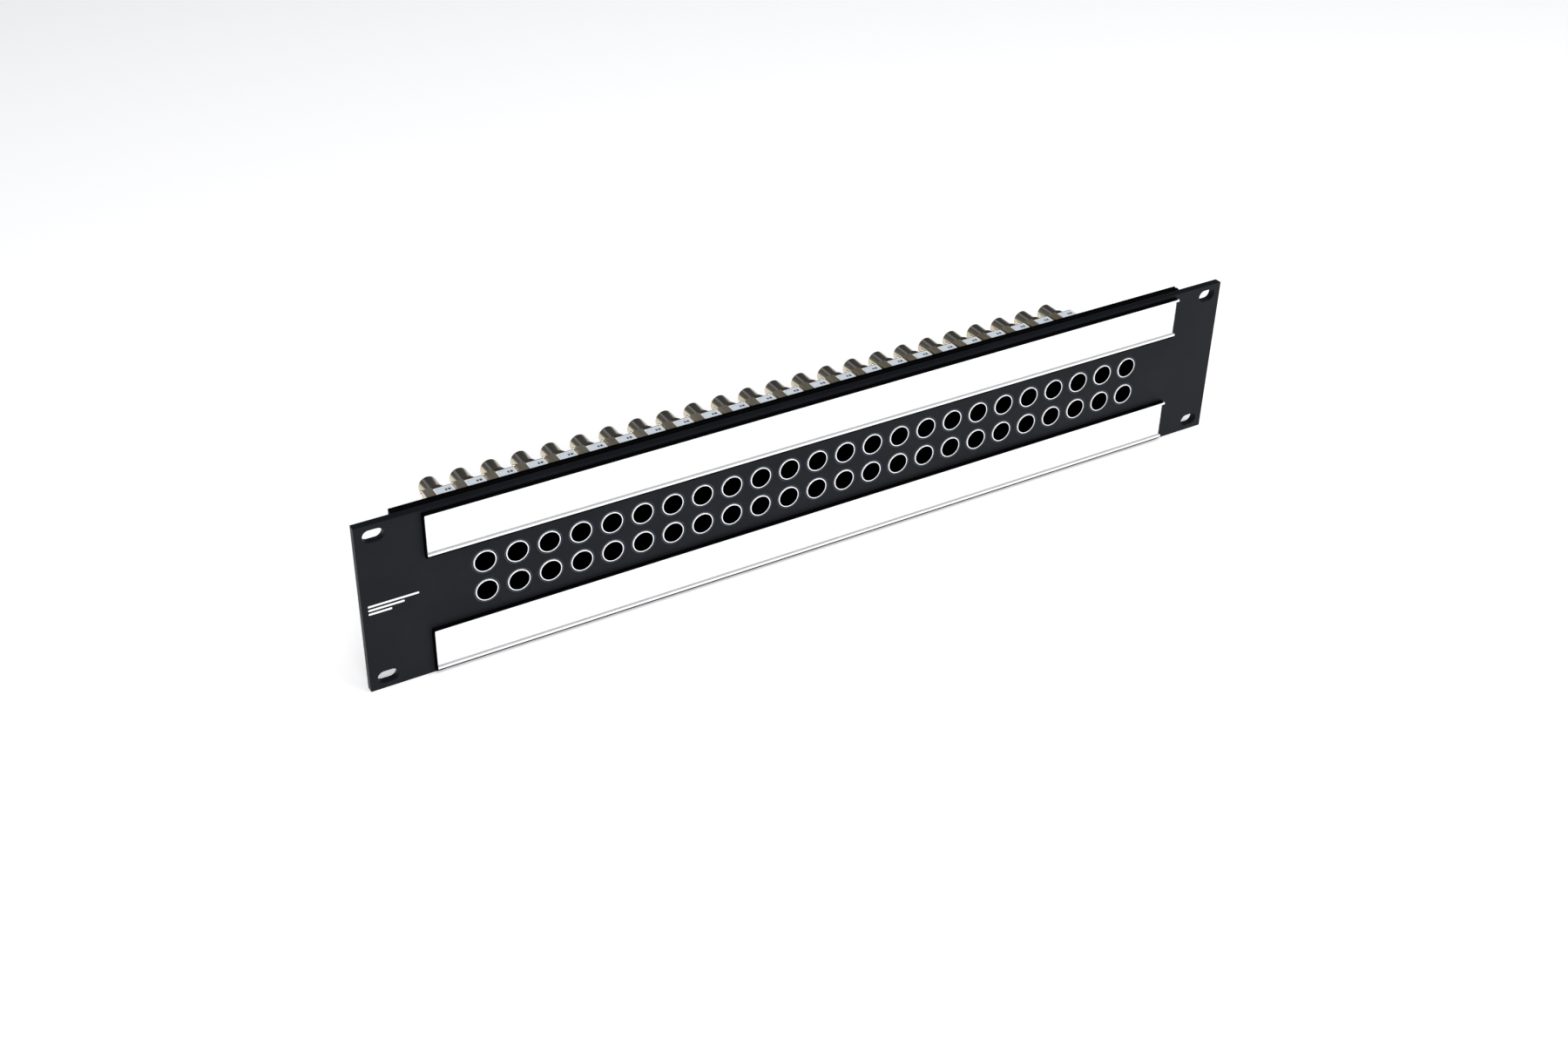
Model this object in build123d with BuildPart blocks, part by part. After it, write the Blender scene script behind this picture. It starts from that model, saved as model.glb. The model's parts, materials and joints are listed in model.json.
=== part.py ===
"""Two-unit rack patch bay with 24 dual coaxial jack modules.

Frame: X along the panel to the right, +Y to the rear, +Z up. The origin is the centre of
the rack slot pattern, on the front face of the panel. All lengths are in millimetres.
"""

from build123d import *
import os

os.makedirs("parts", exist_ok=True)

# ---- panel and rack slots ----
PANEL_WIDTH = 482.6
PANEL_HEIGHT = 88.1
PANEL_THICKNESS = 4.0
SLOT_SPACING_X = 465.12
SLOT_SPACING_Z = 76.2
SLOT_LENGTH = 10.0
SLOT_HEIGHT = 6.4

# ---- module grid ----
MODULE_COUNT = 24
MODULE_PITCH = 15.875
MODULE_WIDTH = 14.9
JACK_Z = 7.9375
MODULE_X = [(i - (MODULE_COUNT - 1) / 2) * MODULE_PITCH for i in range(MODULE_COUNT)]

# ---- designation strips: black holder, clear lens, white card ----
STRIP_LEFT = -210.4
STRIP_RIGHT = 210.6
STRIP_LOW = 19.6
STRIP_HIGH = 42.6
STRIP_DEPTH = 2.0
HOLDER_WALL = 0.8
HOLDER_FLOOR = 0.5
LENS_CLEARANCE = 0.05
LENS_LIP_FRONT = -2.1
LENS_WEB_FRONT = -1.5
LENS_WEB_BACK = -1.2
LENS_LIP_HEIGHT = 1.0
LENS_OVERHANG = 1.0
CARD_FRONT = -1.05
CARD_BACK = -0.75
CARD_GAP = 0.2
CUT_MARGIN = 1.0

# ---- stiffening rails behind the strips ----
RAIL_LENGTH = 442.0
RAIL_DEPTH = 8.7
RAIL_LOW = 28.9
RAIL_HIGH = 40.9
RAIL_GROOVES_Y = [8.4, 11.1]
RAIL_GROOVE_SIZE = 0.8
RAIL_SCREW_X = [-200.0, -120.0, -40.0, 40.0, 120.0, 200.0]
RAIL_SCREW_Z = (RAIL_LOW + RAIL_HIGH) / 2
RAIL_SCREW_END = 10.5
RAIL_HOLE_END = 11.0

# ---- countersunk M3 screws through the panel, under the strips ----
SCREW_RADIUS = 1.45
SCREW_THREAD = 1.5
SCREW_CLEARANCE = 1.7
SCREW_HEAD = 2.75
SCREW_SINK = 3.05
SCREW_RECESS = 0.25
SCREW_SOCKET = 1.1
SCREW_SOCKET_DEPTH = 1.0
MODULE_SCREW_Z = 24.0
MODULE_SCREW_END = 7.0

# ---- front jacks ----
PANEL_HOLE = 5.8
PANEL_HOLE_SINK = 6.15
SLEEVE_OUTER = 5.6
SLEEVE_BORE = 5.0
SLEEVE_FRONT = -0.2
SLEEVE_REAR = 16.5
SLEEVE_ROUND = 0.25
SLEEVE_STEP_Y = 12.0
SLEEVE_STEP_BORE = 5.25
PRESS_GAP = 0.02

# ---- module housing and its side cover ----
HOUSING_FRONT = PANEL_THICKNESS
HOUSING_REAR = 57.5
HOUSING_LEFT = -6.4
HOUSING_RIGHT = MODULE_WIDTH / 2
HOUSING_TOP = 14.7
HOUSING_ROUND = 0.7
FLANGE_THICKNESS = 2.5
FLANGE_WIDTH = 14.4
FLANGE_HEIGHT = 55.0
CAVITY_FRONT = SLEEVE_REAR
CAVITY_REAR = 53.5
CAVITY_RIGHT = 5.9
CAVITY_TOP = 12.7
COVER_LEFT = -MODULE_WIDTH / 2
COVER_INNER = -6.45
COVER_FRONT = 6.6
COVER_REAR = 57.4
COVER_LIP_INNER = 14.73
COVER_LIP_OUTER = 15.25
COVER_LIP_RIGHT = -2.5
RIB_GROOVES_X = [-6.3, -5.1, -3.9]
RIB_GROOVE_WIDTH = 0.45
RIB_GROOVE_DEPTH = 0.22
COVER_SCREWS_Y = [11.0, 55.5]
COVER_SCREW_RADIUS = 0.95
COVER_SCREW_HOLE = 1.0
COVER_SCREW_HEAD = 1.75
COVER_SCREW_SINK = 1.95
COVER_SCREW_END = -3.2
COVER_SCREW_SLOT = 0.4
SCREW_END_GAP = 0.3
SINK_ANGLE = 90
HEAD_TAPER = 45

# ---- moving normalling shuttle and its return spring ----
RING_FRONT = 12.4
RING_OUTER = 4.5
RING_BORE = 3.5
PLATE_FRONT = 17.5
PLATE_REAR = 20.0
PLATE_LEFT = -5.8
PLATE_RIGHT = 5.4
PLATE_TOP = 12.2
SPRING_WIDTH = 3.6
SPRING_SHEET = 0.3
SPRING_SWING = 3.0
SPRING_BEND = 0.5

# ---- fixed contact carrier and front contacts ----
CARRIER_FRONT = 30.0
CARRIER_REAR = 36.0
CARRIER_LEFT = -6.2
CARRIER_GAP = 0.05
STEM_RADIUS = 3.0
STEM_FRONT = 13.4
CONTACT_RADIUS = 1.2
CONTACT_BORE = 0.65
CONTACT_FRONT = 12.9
CONTACT_REAR = 38.0
SOCKET_DEPTH = 4.0
SOCKET_SLIT = 0.25

# ---- rear coaxial connectors ----
BNC_Z = 9.0
BNC_RADIUS = 4.8
BNC_BORE = 4.05
BNC_FRONT = 53.8
BNC_REAR = 69.7
BNC_ROUND = 0.2
COLLAR_RADIUS = 5.9
COLLAR_REAR = 59.3
LUG_Y = 65.0
LUG_RADIUS = 0.95
LUG_REACH = 5.55
DIELECTRIC_BASE_REAR = 57.0
DIELECTRIC_RADIUS = 2.4
DIELECTRIC_REAR = 68.9
DIELECTRIC_RECESS = 1.6
PIN_RADIUS = 1.05
PIN_BORE = 0.6
PIN_FRONT = 46.0
PIN_REAR = 68.4
RECESS_DEPTH = 1.0

# ---- inner wiring and the labels on top ----
STRAP_SIZE = 1.2
RESISTOR_Y = 42.0
RESISTOR_RADIUS = 1.15
RESISTOR_LENGTH = 6.0
RESISTOR_LEAD = 0.3
RESISTOR_REACH = 7.6
LABEL_LEFT = -2.3
LABEL_RIGHT = 7.2
LABEL_FRONT = 13.5
LABEL_REAR = 56.3
LABEL_THICKNESS = 0.1

SIDES = {"upper": 1, "lower": -1}
JACKS = [(x, side * JACK_Z) for x in MODULE_X for side in SIDES.values()]
MODULE_SCREWS = [(x, side * MODULE_SCREW_Z) for x in MODULE_X for side in SIDES.values()]
RAIL_SCREWS = [(x, side * RAIL_SCREW_Z) for x in RAIL_SCREW_X for side in SIDES.values()]


def upright(y):
    """The plane at depth y, seen from the front: x to the right, y up. Rearwards is negative."""
    return Plane.XZ.offset(-y)


def rod(radius, y_front, y_rear, places=((0, 0),), mode=Mode.ADD):
    """Round bars along Y from y_front to y_rear at the (x, z) places, in the current part."""
    with BuildSketch(upright(y_front)) as section:
        with Locations(*places):
            Circle(radius)
    extrude(section.sketch, amount=y_front - y_rear, mode=mode)


def block(x_limits, y_limits, z_limits, mode=Mode.ADD):
    """A box between three pairs of limits, in the current part."""
    limits = (x_limits, y_limits, z_limits)
    with Locations(tuple((low + high) / 2 for low, high in limits)):
        Box(*[high - low for low, high in limits], mode=mode)


def save(builder, name):
    """Label a finished piece and write it out."""
    builder.part.label = name
    export_step(builder.part, "parts/" + name + ".step")


def save_row(builder, name, places=None):
    """Repeat a piece made at the row's centre, once at each place, in one node."""
    with BuildPart() as row:
        with Locations(*(places or [(x, 0, 0) for x in MODULE_X])):
            add(builder.part)
    save(row, name)


# ---- front panel ----
with BuildPart() as front_panel:
    with BuildSketch(Plane.XZ):
        Rectangle(PANEL_WIDTH, PANEL_HEIGHT)
        with GridLocations(SLOT_SPACING_X, SLOT_SPACING_Z, 2, 2):
            SlotOverall(SLOT_LENGTH, SLOT_HEIGHT, mode=Mode.SUBTRACT)
    extrude(amount=-PANEL_THICKNESS)
    with Locations(Plane.XZ):
        with Locations(*JACKS):
            CounterSinkHole(PANEL_HOLE, PANEL_HOLE_SINK, PANEL_THICKNESS, SINK_ANGLE)
        with Locations(*MODULE_SCREWS, *RAIL_SCREWS):
            CounterSinkHole(SCREW_CLEARANCE, SCREW_SINK, PANEL_THICKNESS, SINK_ANGLE)
save(front_panel, "front_panel")


# ---- designation strips, above and below the jacks ----
def strip_profile(side, corners):
    """A closed outline in depth and height, mirrored for the lower strip."""
    with BuildSketch(Plane.YZ.offset(STRIP_LEFT)) as profile:
        with BuildLine():
            Polyline(*[(y, side * z) for y, z in corners], close=True)
        make_face()
    return profile.sketch


for strip, side in SIDES.items():
    inner_low = STRIP_LOW + HOLDER_WALL
    inner_high = STRIP_HIGH - HOLDER_WALL
    with BuildPart() as strip_holder:
        outline = strip_profile(side, [
            (0, STRIP_LOW), (0, STRIP_HIGH), (-STRIP_DEPTH, STRIP_HIGH), (-STRIP_DEPTH, inner_high),
            (-HOLDER_FLOOR, inner_high), (-HOLDER_FLOOR, inner_low), (-STRIP_DEPTH, inner_low),
            (-STRIP_DEPTH, STRIP_LOW)])
        extrude(outline, amount=STRIP_RIGHT - STRIP_LEFT)
        block((STRIP_LEFT, STRIP_LEFT + HOLDER_WALL), (-STRIP_DEPTH, 0),
              sorted((side * STRIP_LOW, side * STRIP_HIGH)))
    save(strip_holder, strip + "_strip_holder")

    lens_low = inner_low + LENS_CLEARANCE
    lens_high = inner_high - LENS_CLEARANCE
    lip_low = lens_low + LENS_LIP_HEIGHT
    lip_high = lens_high - LENS_LIP_HEIGHT
    lens_left = STRIP_LEFT + HOLDER_WALL + LENS_CLEARANCE
    lens_back = -HOLDER_FLOOR - LENS_CLEARANCE
    with BuildPart() as strip_lens:
        outline = strip_profile(side, [
            (lens_back, lens_low), (LENS_LIP_FRONT, lens_low), (LENS_LIP_FRONT, lip_low),
            (LENS_WEB_FRONT, lip_low), (LENS_WEB_FRONT, lip_high), (LENS_LIP_FRONT, lip_high),
            (LENS_LIP_FRONT, lens_high), (lens_back, lens_high), (lens_back, lip_high),
            (LENS_WEB_BACK, lip_high), (LENS_WEB_BACK, lip_low), (lens_back, lip_low)])
        extrude(outline, amount=STRIP_RIGHT + LENS_OVERHANG - STRIP_LEFT)
        block((STRIP_LEFT - CUT_MARGIN, lens_left), (-STRIP_DEPTH - CUT_MARGIN, 0),
              sorted((side * STRIP_LOW, side * STRIP_HIGH)), Mode.SUBTRACT)
        block((STRIP_RIGHT, STRIP_RIGHT + LENS_OVERHANG + CUT_MARGIN), (-STRIP_DEPTH - CUT_MARGIN, 0),
              sorted((side * lip_low, side * lip_high)), Mode.SUBTRACT)
    save(strip_lens, strip + "_strip_lens")

    with BuildPart() as label_card:
        block((lens_left + CARD_GAP, STRIP_RIGHT), (CARD_FRONT, CARD_BACK),
              sorted((side * (lip_low + CARD_GAP), side * (lip_high - CARD_GAP))))
    save(label_card, strip + "_label_card")

    # ---- stiffening rail behind this strip ----
    rail_rear = PANEL_THICKNESS + RAIL_DEPTH
    with BuildPart() as rail:
        block((-RAIL_LENGTH / 2, RAIL_LENGTH / 2), (PANEL_THICKNESS, rail_rear),
              sorted((side * RAIL_LOW, side * RAIL_HIGH)))
        for groove_y in RAIL_GROOVES_Y:
            block((-RAIL_LENGTH / 2, RAIL_LENGTH / 2), (groove_y, groove_y + RAIL_GROOVE_SIZE),
                  sorted((side * RAIL_HIGH, side * (RAIL_HIGH - RAIL_GROOVE_SIZE))), Mode.SUBTRACT)
        rail_holes = [(x, side * RAIL_SCREW_Z) for x in RAIL_SCREW_X]
        rod(SCREW_THREAD, PANEL_THICKNESS, RAIL_HOLE_END, rail_holes, Mode.SUBTRACT)
    save(rail, strip + "_rail")


# ---- countersunk screws ----
def panel_screw(end):
    """One countersunk socket screw whose head sits just under the panel's face."""
    neck = SCREW_RECESS + SCREW_HEAD - SCREW_RADIUS
    with BuildPart() as screw:
        with BuildSketch(upright(SCREW_RECESS)):
            Circle(SCREW_HEAD)
        extrude(amount=SCREW_RECESS - neck, taper=HEAD_TAPER)
        rod(SCREW_RADIUS, neck, end)
        with BuildSketch(upright(SCREW_RECESS)):
            RegularPolygon(SCREW_SOCKET, 6)
        extrude(amount=-SCREW_SOCKET_DEPTH, mode=Mode.SUBTRACT)
    return screw


save_row(panel_screw(MODULE_SCREW_END), "module_screws", [(x, 0, z) for x, z in MODULE_SCREWS])
save_row(panel_screw(RAIL_SCREW_END), "rail_screws", [(x, 0, z) for x, z in RAIL_SCREWS])

# ---- module: die-cast housing, made at the row's centre ----
jack_pair = [(0, side * JACK_Z) for side in SIDES.values()]
bnc_pair = [(0, side * BNC_Z) for side in SIDES.values()]
cover_screw_places = [(y, 0) for y in COVER_SCREWS_Y]

with BuildPart() as housing:
    block((HOUSING_LEFT, HOUSING_RIGHT), (HOUSING_FRONT, HOUSING_REAR), (-HOUSING_TOP, HOUSING_TOP))
    fillet(housing.faces().sort_by(Axis.Y)[-1].edges(), HOUSING_ROUND)
    block((-FLANGE_WIDTH / 2, FLANGE_WIDTH / 2), (HOUSING_FRONT, HOUSING_FRONT + FLANGE_THICKNESS),
          (-FLANGE_HEIGHT / 2, FLANGE_HEIGHT / 2))
    block((HOUSING_LEFT, CAVITY_RIGHT), (CAVITY_FRONT, CAVITY_REAR), (-CAVITY_TOP, CAVITY_TOP),
          Mode.SUBTRACT)
    rod(SLEEVE_OUTER + PRESS_GAP, HOUSING_FRONT, CAVITY_FRONT, jack_pair, Mode.SUBTRACT)
    rod(BNC_RADIUS + PRESS_GAP, CAVITY_REAR, HOUSING_REAR, bnc_pair, Mode.SUBTRACT)
    flange_holes = [(0, side * MODULE_SCREW_Z) for side in SIDES.values()]
    rod(SCREW_THREAD, HOUSING_FRONT, MODULE_SCREW_END, flange_holes, Mode.SUBTRACT)
    with BuildSketch(Plane.YZ.offset(HOUSING_LEFT)):
        with Locations(*cover_screw_places):
            Circle(COVER_SCREW_HOLE)
    extrude(amount=COVER_SCREW_END + SCREW_END_GAP - HOUSING_LEFT, mode=Mode.SUBTRACT)
save_row(housing, "jack_housings")

# ---- module: side cover with ribbed lips over the top and bottom ----
with BuildPart() as cover:
    with BuildSketch(upright(COVER_FRONT)):
        with BuildLine():
            Polyline((COVER_LEFT, -COVER_LIP_OUTER), (COVER_LIP_RIGHT, -COVER_LIP_OUTER),
                     (COVER_LIP_RIGHT, -COVER_LIP_INNER), (COVER_INNER, -COVER_LIP_INNER),
                     (COVER_INNER, COVER_LIP_INNER), (COVER_LIP_RIGHT, COVER_LIP_INNER),
                     (COVER_LIP_RIGHT, COVER_LIP_OUTER), (COVER_LEFT, COVER_LIP_OUTER), close=True)
        make_face()
        rib_places = [(x, side * COVER_LIP_OUTER) for x in RIB_GROOVES_X for side in SIDES.values()]
        with Locations(*rib_places):
            Rectangle(RIB_GROOVE_WIDTH, 2 * RIB_GROOVE_DEPTH, mode=Mode.SUBTRACT)
    extrude(amount=COVER_FRONT - COVER_REAR)
    with Locations(Plane((COVER_LEFT, 0, 0), x_dir=(0, -1, 0), z_dir=(-1, 0, 0))):
        with Locations(*[(-y, z) for y, z in cover_screw_places]):
            CounterSinkHole(COVER_SCREW_HOLE, COVER_SCREW_SINK, COVER_INNER - COVER_LEFT, SINK_ANGLE)
save_row(cover, "side_covers")

with BuildPart() as cover_screws:
    head_depth = COVER_SCREW_HEAD - COVER_SCREW_RADIUS
    head_x = COVER_LEFT + COVER_SCREW_SINK - COVER_SCREW_HEAD - COVER_SCREW_SLOT / 4
    with BuildSketch(Plane.YZ.offset(head_x)):
        with Locations(*cover_screw_places):
            Circle(COVER_SCREW_HEAD)
    extrude(amount=head_depth, taper=HEAD_TAPER)
    with BuildSketch(Plane.YZ.offset(head_x + head_depth)):
        with Locations(*cover_screw_places):
            Circle(COVER_SCREW_RADIUS)
    extrude(amount=COVER_SCREW_END - head_x - head_depth)
    with BuildSketch(Plane.YZ.offset(head_x)):
        with Locations(*cover_screw_places):
            Rectangle(2 * COVER_SCREW_HEAD, COVER_SCREW_SLOT)
    extrude(amount=COVER_SCREW_SLOT, mode=Mode.SUBTRACT)
save_row(cover_screws, "cover_screws")

# ---- module: front jack sleeves ----
with BuildPart() as sleeves:
    rod(SLEEVE_OUTER, SLEEVE_FRONT, SLEEVE_REAR, jack_pair)
    rod(SLEEVE_BORE, SLEEVE_FRONT, SLEEVE_REAR, jack_pair, Mode.SUBTRACT)
    rod(SLEEVE_STEP_BORE, SLEEVE_STEP_Y, SLEEVE_REAR, jack_pair, Mode.SUBTRACT)
    rims = sleeves.edges().filter_by(GeomType.CIRCLE).group_by(Axis.Y)[0]
    fillet(rims, SLEEVE_ROUND)
save_row(sleeves, "jack_sleeves")

# ---- module: insulating carrier with two hollow stems ----
with BuildPart() as carrier:
    block((CARRIER_LEFT, CAVITY_RIGHT - CARRIER_GAP), (CARRIER_FRONT, CARRIER_REAR),
          (CARRIER_GAP - CAVITY_TOP, CAVITY_TOP - CARRIER_GAP))
    rod(STEM_RADIUS, STEM_FRONT, CARRIER_FRONT, jack_pair)
    rod(CONTACT_RADIUS + PRESS_GAP, STEM_FRONT, CARRIER_REAR, jack_pair, Mode.SUBTRACT)
save_row(carrier, "contact_carriers")


def socket(radius, bore, y_mouth, y_tail, places):
    """Slit tubular sockets on a solid stem; the mouth may face either way along Y."""
    inward = 1 if y_tail > y_mouth else -1
    bottom = y_mouth + inward * SOCKET_DEPTH
    with BuildPart() as contact:
        rod(radius, min(y_mouth, y_tail), max(y_mouth, y_tail), places)
        rod(bore, min(y_mouth, bottom), max(y_mouth, bottom), places, Mode.SUBTRACT)
        with BuildSketch(upright(min(y_mouth, bottom))):
            with Locations(*places):
                Rectangle(3 * radius, SOCKET_SLIT)
                Rectangle(SOCKET_SLIT, 3 * radius)
        extrude(amount=-SOCKET_DEPTH, mode=Mode.SUBTRACT)
    return contact


save_row(socket(CONTACT_RADIUS, CONTACT_BORE, CONTACT_FRONT, CONTACT_REAR, jack_pair), "jack_contacts")
save_row(socket(PIN_RADIUS, PIN_BORE, PIN_REAR, PIN_FRONT, bnc_pair), "bnc_contacts")

# ---- module: bayonet barrels and their dielectrics ----
with BuildPart() as barrels:
    rod(BNC_RADIUS, BNC_FRONT, BNC_REAR, bnc_pair)
    rod(COLLAR_RADIUS, HOUSING_REAR, COLLAR_REAR, bnc_pair)
    with BuildSketch(Plane.YZ.offset(-LUG_REACH)):
        with Locations(*[(LUG_Y, z) for _, z in bnc_pair]):
            Circle(LUG_RADIUS)
    extrude(amount=2 * LUG_REACH)
    rod(BNC_BORE, BNC_FRONT, BNC_REAR, bnc_pair, Mode.SUBTRACT)
    fillet(barrels.edges().filter_by(GeomType.CIRCLE).group_by(Axis.Y)[-1], BNC_ROUND)
save_row(barrels, "bnc_barrels")

with BuildPart() as dielectrics:
    rod(BNC_BORE - PRESS_GAP, BNC_FRONT, DIELECTRIC_BASE_REAR, bnc_pair)
    rod(DIELECTRIC_RADIUS, DIELECTRIC_BASE_REAR, DIELECTRIC_REAR, bnc_pair)
    rod(PIN_RADIUS + PRESS_GAP, BNC_FRONT, DIELECTRIC_REAR, bnc_pair, Mode.SUBTRACT)
    rod(DIELECTRIC_RECESS, DIELECTRIC_REAR - RECESS_DEPTH, DIELECTRIC_REAR, bnc_pair, Mode.SUBTRACT)
save_row(dielectrics, "bnc_dielectrics")

# ---- module: signal straps, terminating resistor and top label ----
with BuildPart() as straps:
    half = STRAP_SIZE / 2
    with BuildSketch(Plane.YZ.offset(-half)):
        for side in SIDES.values():
            with BuildLine():
                Polyline((CONTACT_REAR, side * (JACK_Z - half)), (CONTACT_REAR, side * (JACK_Z + half)),
                         (PIN_FRONT, side * (BNC_Z + half)), (PIN_FRONT, side * (BNC_Z - half)),
                         close=True)
            make_face()
    extrude(amount=STRAP_SIZE)
save_row(straps, "signal_straps")

with BuildPart() as resistor:
    with Locations((0, RESISTOR_Y, 0)):
        Cylinder(RESISTOR_RADIUS, RESISTOR_LENGTH)
        Cylinder(RESISTOR_LEAD, 2 * RESISTOR_REACH)
save_row(resistor, "terminating_resistors")

with BuildPart() as label:
    block((LABEL_LEFT, LABEL_RIGHT), (LABEL_FRONT, LABEL_REAR),
          (HOUSING_TOP, HOUSING_TOP + LABEL_THICKNESS))
save_row(label, "module_labels")

# ---- module: folded leaf spring between the shuttle and the carrier ----
with BuildPart() as leaf_spring:
    spring_front = PLATE_REAR + SPRING_SHEET
    spring_rear = CARRIER_FRONT - SPRING_SHEET
    third = (spring_rear - spring_front) / 3
    with BuildSketch(Plane.YZ.offset(-SPRING_WIDTH / 2)):
        with BuildLine():
            FilletPolyline((spring_rear, SPRING_SWING), (spring_rear, -SPRING_SWING),
                           (spring_rear - third, SPRING_SWING), (spring_front + third, -SPRING_SWING),
                           (spring_front, SPRING_SWING), (spring_front, -SPRING_SWING),
                           radius=SPRING_BEND)
        trace(line_width=SPRING_SHEET)
    extrude(amount=SPRING_WIDTH)
save_row(leaf_spring, "return_springs")

# ---- normalling shuttles: one moving piece in each module ----
with BuildPart() as shuttle:
    block((PLATE_LEFT, PLATE_RIGHT), (PLATE_FRONT, PLATE_REAR), (-PLATE_TOP, PLATE_TOP))
    rod(RING_OUTER, RING_FRONT, PLATE_FRONT, jack_pair)
    rod(RING_BORE, RING_FRONT, PLATE_REAR, jack_pair, Mode.SUBTRACT)

for number, x in enumerate(MODULE_X, start=1):
    with BuildPart() as placed_shuttle:
        with Locations((x, 0, 0)):
            add(shuttle.part)
    save(placed_shuttle, f"normalling_shuttle_{number:02d}")
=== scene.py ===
"""Looks of the two-unit rack patch bay: materials, small printed pieces, studio and camera.

Lengths are in metres, in the frame of the CAD model: X along the panel, +Y to the rear, +Z up.
"""

import json
import math

import bmesh
import bpy
from mathutils import Matrix, Vector

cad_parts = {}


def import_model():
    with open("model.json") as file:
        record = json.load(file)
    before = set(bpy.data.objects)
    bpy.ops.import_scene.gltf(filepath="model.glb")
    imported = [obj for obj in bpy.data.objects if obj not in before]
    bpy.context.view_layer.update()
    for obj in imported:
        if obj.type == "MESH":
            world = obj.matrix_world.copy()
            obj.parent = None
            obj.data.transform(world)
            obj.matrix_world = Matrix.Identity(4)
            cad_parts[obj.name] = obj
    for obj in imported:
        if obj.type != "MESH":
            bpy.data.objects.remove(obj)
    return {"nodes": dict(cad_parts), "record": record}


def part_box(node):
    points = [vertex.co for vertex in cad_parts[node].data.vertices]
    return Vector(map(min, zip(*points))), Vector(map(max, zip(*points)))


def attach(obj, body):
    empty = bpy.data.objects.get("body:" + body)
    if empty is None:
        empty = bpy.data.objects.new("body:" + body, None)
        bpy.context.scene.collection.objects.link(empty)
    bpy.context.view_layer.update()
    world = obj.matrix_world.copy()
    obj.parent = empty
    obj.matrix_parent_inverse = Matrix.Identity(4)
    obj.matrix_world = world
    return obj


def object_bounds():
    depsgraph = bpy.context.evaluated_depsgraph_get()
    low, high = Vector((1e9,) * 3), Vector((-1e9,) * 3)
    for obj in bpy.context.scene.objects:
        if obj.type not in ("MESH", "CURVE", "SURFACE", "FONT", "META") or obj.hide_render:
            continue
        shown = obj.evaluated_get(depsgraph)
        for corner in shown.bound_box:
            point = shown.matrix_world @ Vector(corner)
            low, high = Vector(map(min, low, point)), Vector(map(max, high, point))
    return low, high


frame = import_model()
cad_low, cad_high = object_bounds()

MM = 0.001
BODY = "frame"
MODULES = 24
PITCH = 15.875 * MM
JACK_Z = 7.9375 * MM
BNC_Z = 9.0 * MM
PANEL_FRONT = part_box("front_panel")[0].y
SCENE = bpy.context.scene

MARK_LEFT = -238.5 * MM
MARK_LENGTHS = (24.0, 17.0, 11.0)
MARK_TOP = 2.0
MARK_SPACING = 2.0
MARK_HALF_HEIGHT = 0.5 * MM
MARK_DEPTH = 0.04 * MM
MARK_GAP = 0.005 * MM
ARC_STEPS = 12
RIM_INNER = (5.28 * MM, 5.34 * MM)
RING_RADIUS = 6.2 * MM
RING_HALF_WIDTH = 0.14 * MM
RING_SOFT = 0.06 * MM
JACKS_END = (191 * MM, 192 * MM)
TOP_EDGE = (43.8 * MM, 44.0 * MM)
PANEL_GLOSS = 0.085
EDGE_GLOSS = 0.01
WELD_DISTANCE = 0.002 * MM
BEVEL_ANGLE = 50
FLOOR_GLOW = 0.3
FLOOR_HALF_SIZE = 12.0


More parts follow.
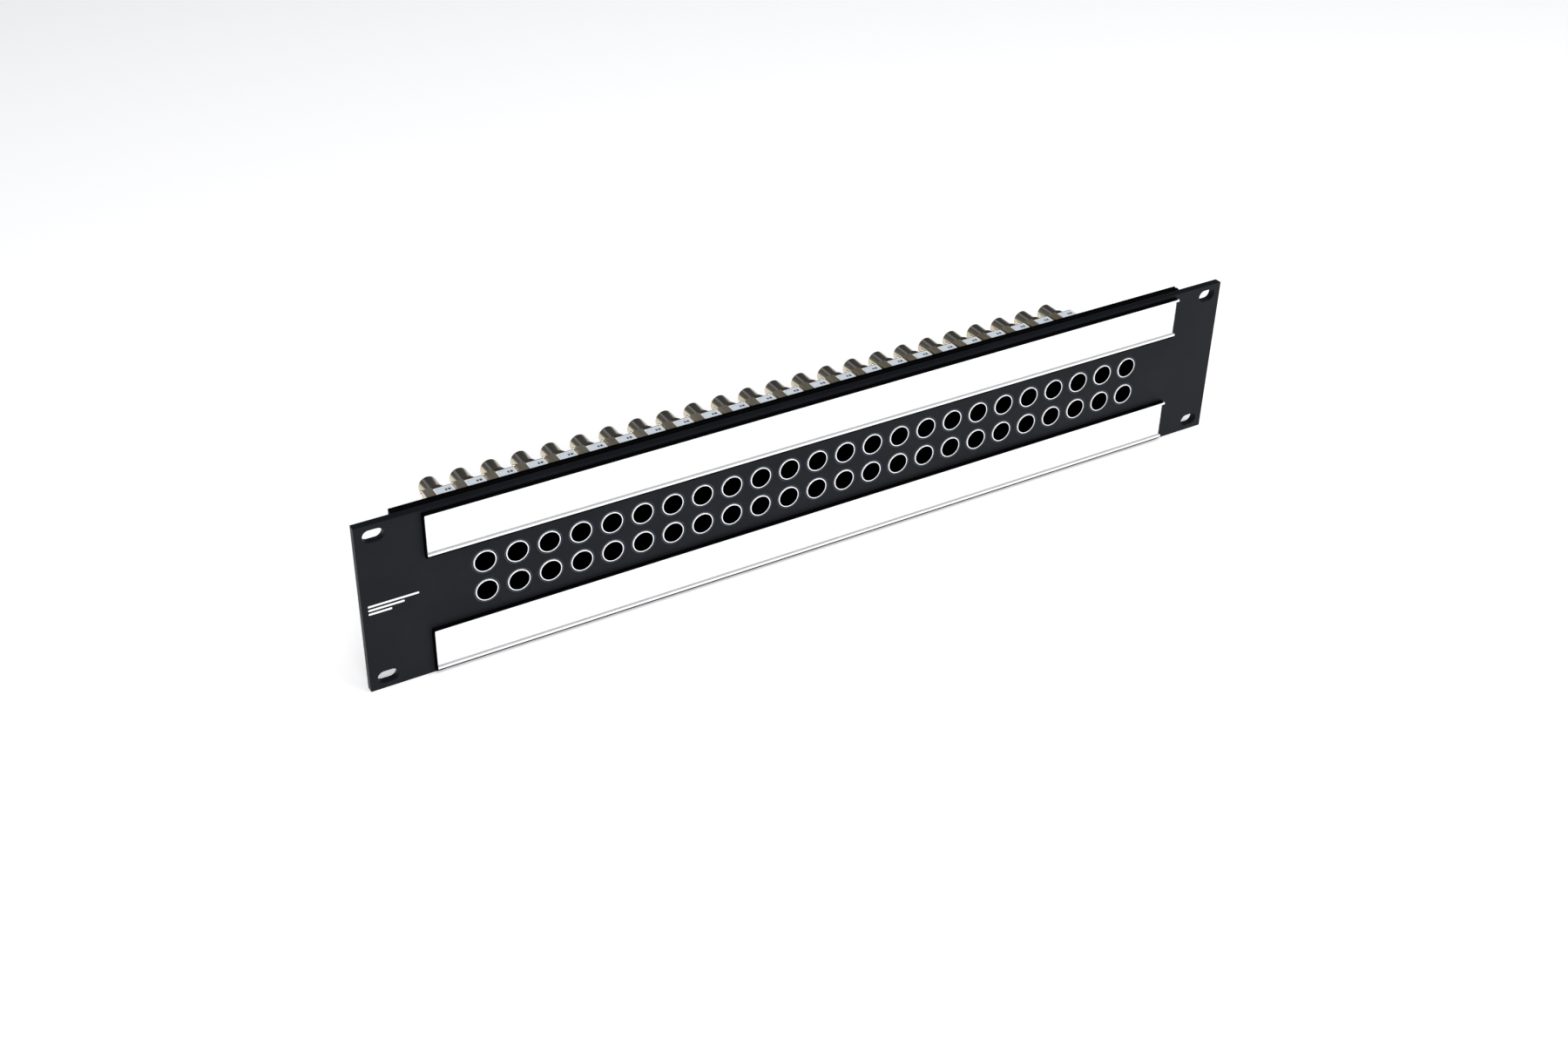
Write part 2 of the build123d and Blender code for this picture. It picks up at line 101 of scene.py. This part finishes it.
# ---- material helpers ----
class Shader:
    """A principled material with short ways to add procedural detail."""

    def __init__(self, name, colour, roughness, metallic=0.0):
        self.material = bpy.data.materials.new(name)
        self.material.use_nodes = True
        self.tree = self.material.node_tree
        self.bsdf = self.tree.nodes["Principled BSDF"]
        self.bsdf.inputs["Base Color"].default_value = (*colour, 1)
        self.bsdf.inputs["Roughness"].default_value = roughness
        self.bsdf.inputs["Metallic"].default_value = metallic
        self.coords = self.node("ShaderNodeTexCoord").outputs["Object"]

    def node(self, kind, **settings):
        made = self.tree.nodes.new(kind)
        for key, value in settings.items():
            setattr(made, key, value)
        return made

    def link(self, output, target):
        self.tree.links.new(output, target)

    def math(self, operation, first, second=0.0, third=None):
        """One arithmetic node; numbers and sockets may be mixed."""
        made = self.node("ShaderNodeMath", operation=operation)
        for slot, value in zip(made.inputs, (first, second, third)):
            if isinstance(value, (int, float)):
                slot.default_value = value
            elif value is not None:
                self.link(value, slot)
        return made.outputs[0]

    def axes(self):
        """The x, y and z of the point in the part's frame."""
        made = self.node("ShaderNodeSeparateXYZ")
        self.link(self.coords, made.inputs[0])
        return made.outputs

    def noise(self, scale, detail=4.0, stretch=(1, 1, 1)):
        """Noise with a scale per metre, stretched along the axes."""
        mapping = self.node("ShaderNodeMapping")
        mapping.inputs["Scale"].default_value = stretch
        made = self.node("ShaderNodeTexNoise")
        made.inputs["Scale"].default_value = scale
        made.inputs["Detail"].default_value = detail
        self.link(self.coords, mapping.inputs["Vector"])
        self.link(mapping.outputs[0], made.inputs["Vector"])
        return made.outputs["Fac"]

    def ramp(self, factor, low, high, low_value, high_value):
        """A value that goes from low_value to high_value as factor goes from low to high."""
        made = self.node("ShaderNodeMapRange")
        for name, value in (("From Min", low), ("From Max", high), ("To Min", low_value), ("To Max", high_value)):
            made.inputs[name].default_value = value
        self.link(factor, made.inputs["Value"])
        return made.outputs[0]

    def mix(self, factor, first, second):
        """A colour between two colours or sockets."""
        made = self.node("ShaderNodeMix", data_type="RGBA")
        self.link(factor, made.inputs["Factor"])
        for name, value in (("A", first), ("B", second)):
            slot = next(i for i in made.inputs if i.name == name and i.type == "RGBA")
            if isinstance(value, tuple):
                slot.default_value = (*value, 1)
            else:
                self.link(value, slot)
        return next(o for o in made.outputs if o.type == "RGBA")

    def colour(self, socket):
        self.link(socket, self.bsdf.inputs["Base Color"])

    def rough(self, factor, smooth, rough):
        """Roughness that follows a noise."""
        self.link(self.ramp(factor, 0.3, 0.7, smooth, rough), self.bsdf.inputs["Roughness"])

    def bump(self, factor, distance, strength=0.5):
        made = self.node("ShaderNodeBump")
        made.inputs["Distance"].default_value = distance
        made.inputs["Strength"].default_value = strength
        self.link(factor, made.inputs["Height"])
        self.link(made.outputs[0], self.bsdf.inputs["Normal"])


def near(shader, value, centre, half_width, soft=0.02 * MM):
    """1 where value is within half_width of centre, 0 elsewhere, with a thin soft edge."""
    away = shader.math("ABSOLUTE", shader.math("SUBTRACT", value, centre))
    return shader.ramp(away, half_width - soft, half_width + soft, 1.0, 0.0)


def both(shader, *factors):
    """The product of several factors."""
    total = factors[0]
    for factor in factors[1:]:
        total = shader.math("MULTIPLY", total, factor)
    return total


def module_x(shader, x):
    """x measured from the middle of the module that the point lies in."""
    return shader.math("SUBTRACT", shader.math("FLOORED_MODULO", x, PITCH), PITCH / 2)


def jack_radius(shader, x, z):
    """Distance of the point from the axis of the nearest jack."""
    across = module_x(shader, x)
    up = shader.math("SUBTRACT", shader.math("ABSOLUTE", z), JACK_Z)
    return shader.math("SQRT", shader.math("ADD", shader.math("MULTIPLY", across, across),
                                           shader.math("MULTIPLY", up, up)))


# ---- materials ----
def black_finish(name, colour, roughness, grain, gloss):
    """Satin black coating with a fine grain and slight cloudiness; gloss is its specular level."""
    shader = Shader(name, colour, roughness)
    shader.bsdf.inputs["Specular IOR Level"].default_value = gloss
    fine = shader.noise(grain, 3)
    cloud = shader.noise(35, 3)
    lighter = tuple(min(1.0, c * 1.25) for c in colour)
    shader.colour(shader.mix(shader.ramp(cloud, 0.35, 0.65, 0, 1), colour, lighter))
    shader.rough(fine, roughness - 0.05, roughness + 0.07)
    shader.bump(fine, 0.02 * MM, 0.35)
    return shader


def panel_finish():
    """The panel's coating: painted highlight rings on the chamfers round the jack openings, and a duller top
    edge.
    """
    colour = (0.0072, 0.008, 0.0102)
    shader = black_finish("panel_anodised", colour, 0.44, 2600, PANEL_GLOSS)
    x, y, z = shader.axes()
    coating = shader.bsdf.inputs["Base Color"].links[0].from_socket
    # painted highlight: a bluish ring on the chamfer round each jack opening, where it would catch the light
    painted_chamfer_highlight = near(shader, jack_radius(shader, x, z), RING_RADIUS, RING_HALF_WIDTH, RING_SOFT)
    inside = shader.ramp(shader.math("ABSOLUTE", x), *JACKS_END, 1, 0)
    shader.colour(shader.mix(both(shader, painted_chamfer_highlight, inside), coating, (0.055, 0.068, 0.1)))
    edge = shader.ramp(z, *TOP_EDGE, PANEL_GLOSS, EDGE_GLOSS)
    shader.link(edge, shader.bsdf.inputs["Specular IOR Level"])
    return shader.material


def nickel(name, colour, smooth, rough, stretch, tarnished=(0.78, 0.72, 0.6), relief=0.1):
    """Warm nickel plating, brushed or turned along the stretched axes, a little tarnished."""
    shader = Shader(name, colour, smooth, 1.0)
    lines = shader.noise(900, 4, stretch)
    cloud = shader.noise(60, 4)
    tarnish = tuple(c * f for c, f in zip(colour, tarnished))
    shader.colour(shader.mix(shader.ramp(cloud, 0.4, 0.75, 0, 1), colour, tarnish))
    shader.rough(lines, smooth, rough)
    shader.bump(lines, 0.01 * MM, relief)
    return shader


def sleeve_nickel():
    """Bright turned nickel on the rim and outside, with painted black shade inside the bore."""
    shader = nickel("sleeve_nickel", (0.95, 0.95, 0.95), 0.2, 0.32, (1, 1, 1), (0.96, 0.97, 1.0))
    x, y, z = shader.axes()
    radius = jack_radius(shader, x, z)
    inside = shader.ramp(radius, *RIM_INNER, 1, 0)
    deep = shader.ramp(y, -0.19 * MM, -0.1 * MM, 0, 1)
    # painted shade: inside the rim and back from the front, the bore is coloured black with no shine, as if in
    # shadow
    painted_bore_shade = both(shader, inside, deep)
    plating = shader.bsdf.inputs["Base Color"].links[0].from_socket
    shader.colour(shader.mix(painted_bore_shade, plating, (0.0, 0.0, 0.0)))
    shader.link(shader.ramp(painted_bore_shade, 0, 1, 0.5, 0.0), shader.bsdf.inputs["Specular IOR Level"])
    shader.link(shader.ramp(painted_bore_shade, 0, 1, 0.45, 0), shader.bsdf.inputs["Metallic"])
    return shader.material


def barrel_nickel():
    """Turned nickel with painted shade, browner on top of the barrels and darker on one side, and a painted
    highlight streak along the other side.
    """
    shader = nickel("turned_nickel", (0.64, 0.59, 0.46), 0.12, 0.24, TURNED)
    x, y, z = shader.axes()
    plating = shader.bsdf.inputs["Base Color"].links[0].from_socket
    across = module_x(shader, x)
    up = shader.math("SUBTRACT", shader.math("ABSOLUTE", z), BNC_Z)
    # painted shade: darker brown towards the top of each barrel and on its +x side, standing in for how the light
    # falls there
    painted_top_shade = shader.ramp(up, 1.8 * MM, 4.4 * MM, 0, 1)
    top_shaded = shader.mix(painted_top_shade, plating, (0.17, 0.15, 0.11))
    shaded = shader.mix(shader.ramp(across, 0.5 * MM, 4.2 * MM, 0, 1), top_shaded, (0.22, 0.19, 0.13))
    # painted highlight: a bright streak along the -x side of each barrel, below its top
    painted_streak_highlight = near(shader, across, -2.2 * MM, 0.5 * MM, 0.5 * MM)
    below = shader.ramp(up, 4.2 * MM, 4.6 * MM, 0.8, 0)
    shader.colour(shader.mix(both(shader, painted_streak_highlight, below), shaded, (1.0, 0.97, 0.88)))
    return shader.material


def plastic(name, colour, roughness, grain=1500):
    """Moulded plastic with a faint grain."""
    shader = Shader(name, colour, roughness)
    fine = shader.noise(grain, 2)
    shader.rough(fine, roughness - 0.05, roughness + 0.05)
    shader.bump(fine, 0.01 * MM, 0.3)
    shade = tuple(c * 0.93 for c in colour)
    shader.colour(shader.mix(shader.ramp(shader.noise(80), 0.35, 0.65, 0, 1), colour, shade))
    return shader.material


def card_paper():
    """White card with a faint fibre."""
    shader = Shader("card_paper", (0.93, 0.93, 0.93), 0.75)
    fibre = shader.noise(1800, 5, (1, 1, 3))
    shader.colour(shader.mix(shader.ramp(fibre, 0.3, 0.7, 0, 1), (0.95, 0.95, 0.95), (0.9, 0.9, 0.905)))
    shader.bump(fibre, 0.01 * MM, 0.3)
    return shader.material


def lens_plastic():
    """Clear plastic: nearly open over the card, milky along its two lips, with a painted shadow line just inside
    each lip.
    """
    shader = Shader("lens_plastic", (0.95, 0.96, 0.97), 0.12)
    x, y, z = shader.axes()
    low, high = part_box("upper_strip_lens")
    middle = (low.z + high.z) / 2
    half = (high.z - low.z) / 2
    height = shader.math("ABSOLUTE", shader.math("SUBTRACT", shader.math("ABSOLUTE", z), middle))
    lip = shader.ramp(height, half - 1.05 * MM, half - 0.95 * MM, 0, 1)
    shade = shader.ramp(height, half - 1.9 * MM, half - 1.15 * MM, 0, 1)
    # painted shadow: a grey line just inside each lip, standing in for the lip's shadow on the card
    painted_lip_shadow = shader.math("MULTIPLY", shade, shader.math("SUBTRACT", 1, lip))
    shader.colour(shader.mix(painted_lip_shadow, (0.96, 0.97, 0.98), (0.42, 0.42, 0.41)))
    alpha = shader.math("ADD", shader.math("MULTIPLY", lip, 0.8), shader.math("MULTIPLY", painted_lip_shadow, 0.6))
    wave = shader.noise(25, 2, (1, 1, 0.2))
    shader.link(shader.math("ADD", alpha, 0.1), shader.bsdf.inputs["Alpha"])
    shader.rough(wave, 0.08, 0.2)
    shader.bump(wave, 0.03 * MM, 0.2)
    return shader.material


def label_film():
    """White film label with a thin printed frame and small generic marks near one end."""
    shader = Shader("label_film", (0.88, 0.91, 0.94), 0.4)
    x, y, z = shader.axes()
    low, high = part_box("module_labels")
    across = module_x(shader, x)
    left = low.x + (MODULES / 2) * PITCH - PITCH / 2
    right = left + 9.5 * MM
    centre = (left + right) / 2
    inset = shader.math("SUBTRACT", (right - left) / 2, shader.math("ABSOLUTE",
                        shader.math("SUBTRACT", across, centre)))
    length = (high.y - low.y) / 2
    inset_y = shader.math("SUBTRACT", length, shader.math("ABSOLUTE",
                          shader.math("SUBTRACT", y, (low.y + high.y) / 2)))
    edge = shader.math("MINIMUM", inset, inset_y)
    border = near(shader, edge, 1.0 * MM, 0.12 * MM)
    field = shader.ramp(edge, 1.1 * MM, 1.2 * MM, 0, 1)
    mark_y = near(shader, y, high.y - 3.0 * MM, 0.8 * MM, 0.1 * MM)
    marks = shader.math("MAXIMUM", near(shader, across, centre + 0.9 * MM, 0.5 * MM, 0.08 * MM),
                        near(shader, across, centre + 2.5 * MM, 0.65 * MM, 0.08 * MM))
    tint = shader.mix(field, (0.9, 0.92, 0.94), (0.72, 0.8, 0.86))
    framed = shader.mix(border, tint, (0.42, 0.46, 0.52))
    shader.colour(shader.mix(both(shader, mark_y, marks), framed, (0.03, 0.03, 0.035)))
    shader.bump(shader.noise(1200, 2), 0.01 * MM, 0.2)
    return shader.material


def banded_resistor():
    """Lacquered resistor body with painted bands and bare leads."""
    shader = Shader("banded_resistor", (0.2, 0.42, 0.5), 0.3)
    x, y, z = shader.axes()
    height = shader.math("ABSOLUTE", z)
    band = shader.math("MAXIMUM", near(shader, height, 0.8 * MM, 0.3 * MM),
                       near(shader, height, 2.2 * MM, 0.3 * MM))
    lead = shader.ramp(height, 3.0 * MM, 3.05 * MM, 0, 1)
    painted = shader.mix(band, (0.2, 0.42, 0.5), (0.45, 0.12, 0.05))
    shader.colour(shader.mix(lead, painted, (0.7, 0.7, 0.68)))
    shader.link(lead, shader.bsdf.inputs["Metallic"])
    return shader.material


ALONG_Y = (1, 0.04, 1)
TURNED = (1, 6, 1)

materials = {
    "panel_black": panel_finish(),
    "rail_black": black_finish("rail_anodised", (0.0018, 0.0018, 0.002), 0.5, 2600, 0.006).material,
    "holder_black": black_finish("holder_plastic", (0.0012, 0.0012, 0.0014), 0.5, 1200, 0.006).material,
    "clear_lens": lens_plastic(),
    "white_card": card_paper(),
    "zinc_steel": nickel("zinc_steel", (0.7, 0.71, 0.72), 0.25, 0.4, (1, 1, 1)).material,
    "cast_nickel": nickel("cast_nickel", (0.56, 0.52, 0.41), 0.26, 0.42, (1, 1, 1)).material,
    "sheet_nickel": nickel("sheet_nickel", (0.6, 0.55, 0.43), 0.22, 0.34, ALONG_Y, relief=0.04).material,
    "turned_nickel": barrel_nickel(),
    "carrier_black": plastic("carrier_plastic", (0.012, 0.012, 0.012), 0.5),
    "dielectric_white": plastic("dielectric_plastic", (0.82, 0.81, 0.77), 0.4),
    "gold_contact": nickel("gold_flash", (0.83, 0.62, 0.28), 0.2, 0.35, TURNED).material,
    "strap_brass": nickel("strap_brass", (0.72, 0.55, 0.28), 0.28, 0.42, ALONG_Y).material,
    "resistor_blue": banded_resistor(),
    "label_white": label_film(),
    "spring_steel": nickel("spring_strip", (0.6, 0.57, 0.5), 0.2, 0.35, ALONG_Y).material,
    "shuttle_black": plastic("shuttle_acetal", (0.02, 0.02, 0.02), 0.45),
}
sleeves_material = sleeve_nickel()

for part in frame["record"]["subparts"]:
    node = frame["nodes"][part["node"]]
    chosen = sleeves_material if part["node"] == "jack_sleeves" else materials[part["material_slot"]]
    for slot in node.material_slots:
        slot.material = chosen


# ---- soft edges on the machined pieces ----
def soften(name, width):
    """Small bevels that catch the light along a CAD piece's sharp edges."""
    node = frame["nodes"][name]
    weld = node.modifiers.new("weld", "WELD")
    weld.merge_threshold = WELD_DISTANCE
    bevel = node.modifiers.new("bevel", "BEVEL")
    bevel.width = width
    bevel.segments = 2
    bevel.limit_method = "ANGLE"
    bevel.angle_limit = math.radians(BEVEL_ANGLE)
    bevel.use_clamp_overlap = True


soften("front_panel", 0.2 * MM)
for strip in ("upper", "lower"):
    soften(strip + "_strip_holder", 0.1 * MM)
    soften(strip + "_rail", 0.2 * MM)
soften("jack_housings", 0.2 * MM)
soften("bnc_barrels", 0.12 * MM)


# ---- printed generic mark on the left of the panel ----
def printed_mark():
    """Three plain bars, printed on the panel's face."""
    mesh = bmesh.new()

    def plate(points):
        low = [mesh.verts.new((x, PANEL_FRONT - MARK_DEPTH, z)) for x, z in points]
        back = [mesh.verts.new((x, PANEL_FRONT - MARK_GAP, z)) for x, z in points]
        count = len(points)
        mesh.faces.new(low)
        mesh.faces.new(back[::-1])
        for i in range(count):
            j = (i + 1) % count
            mesh.faces.new((low[j], low[i], back[i], back[j]))

    def pill(x0, x1, z0, z1):
        radius = (z1 - z0) / 2
        centre = (z0 + z1) / 2
        right = [(x1 - radius + radius * math.sin(math.pi * t / ARC_STEPS),
                  centre - radius * math.cos(math.pi * t / ARC_STEPS)) for t in range(ARC_STEPS + 1)]
        left = [(x0 + radius - radius * math.sin(math.pi * t / ARC_STEPS),
                 centre + radius * math.cos(math.pi * t / ARC_STEPS)) for t in range(ARC_STEPS + 1)]
        plate(right + left)

    for row, length in enumerate(MARK_LENGTHS):
        z = (MARK_TOP - MARK_SPACING * row) * MM
        pill(MARK_LEFT, MARK_LEFT + length * MM, z - MARK_HALF_HEIGHT, z + MARK_HALF_HEIGHT)
    data = bpy.data.meshes.new("panel_mark")
    mesh.to_mesh(data)
    mesh.free()
    mark = bpy.data.objects.new("panel_mark", data)
    SCENE.collection.objects.link(mark)
    data.materials.append(plastic("print_white", (0.85, 0.85, 0.85), 0.5))
    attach(mark, BODY)


printed_mark()


# ---- studio: floor, lights, world ----
def floor():
    """A plain pale floor that the panel's lower edge stands on."""
    size = FLOOR_HALF_SIZE
    mesh = bpy.data.meshes.new("studio_floor")
    z = cad_low.z
    corners = [(-size, -size, z), (size, -size, z), (size, size, z), (-size, size, z)]
    mesh.from_pydata(corners, [], [(0, 1, 2, 3)])
    ground = bpy.data.objects.new("studio_floor", mesh)
    SCENE.collection.objects.link(ground)
    shader = Shader("studio_white", (0.9, 0.9, 0.9), 0.8)
    shader.bsdf.inputs["Emission Color"].default_value = (1, 1, 1, 1)
    shader.bsdf.inputs["Emission Strength"].default_value = FLOOR_GLOW
    mesh.materials.append(shader.material)


def softbox(name, place, target, size, power, colour=(1, 1, 1)):
    """A rectangular area light aimed at a point."""
    data = bpy.data.lights.new(name, "AREA")
    data.shape = "RECTANGLE"
    data.size, data.size_y = size
    data.energy = power
    data.color = colour
    light = bpy.data.objects.new(name, data)
    SCENE.collection.objects.link(light)
    light.location = place
    light.rotation_euler = (Vector(target) - Vector(place)).to_track_quat("-Z", "Y").to_euler()


def world(brightness):
    """Dim neutral surroundings, so that the metal has something dark to mirror."""
    surroundings = bpy.data.worlds.new("studio_world")
    SCENE.world = surroundings
    surroundings.use_nodes = True
    background = surroundings.node_tree.nodes["Background"]
    background.inputs["Color"].default_value = (0.9, 0.92, 1.0, 1)
    background.inputs["Strength"].default_value = brightness


floor()
softbox("front_key", (-0.9, -1.9, 1.1), (0, 0, 0), (1.6, 1.2), 27)
softbox("front_fill", (1.3, -1.7, 0.8), (0, 0, 0), (1.2, 1.2), 15)
softbox("overhead", (0.1, -0.3, 2.0), (0, 0.1, 0), (2.2, 1.4), 27)
world(0.22)
SCENE.view_settings.view_transform = "Standard"

# ---- camera ----
LENS = 42.78
SHIFT = (0.0706, -0.0764)
CAMERA_PLACE = Vector((-0.4250, -0.6458, 0.4895))
CAMERA_RIGHT = Vector((0.88302, -0.46924, -0.00978))
CAMERA_UP = Vector((0.24457, 0.44225, 0.8629))

camera_data = bpy.data.cameras.new("camera")
camera_data.lens = LENS
camera_data.sensor_width = 36.0
camera_data.shift_x, camera_data.shift_y = SHIFT
camera_data.clip_start = 0.01
camera = bpy.data.objects.new("camera", camera_data)
SCENE.collection.objects.link(camera)
camera_back = CAMERA_RIGHT.cross(CAMERA_UP).normalized()
turn = Matrix((CAMERA_RIGHT.normalized(), CAMERA_UP.normalized(), camera_back)).transposed()
camera.matrix_world = Matrix.Translation(CAMERA_PLACE) @ turn.to_4x4()
SCENE.camera = camera
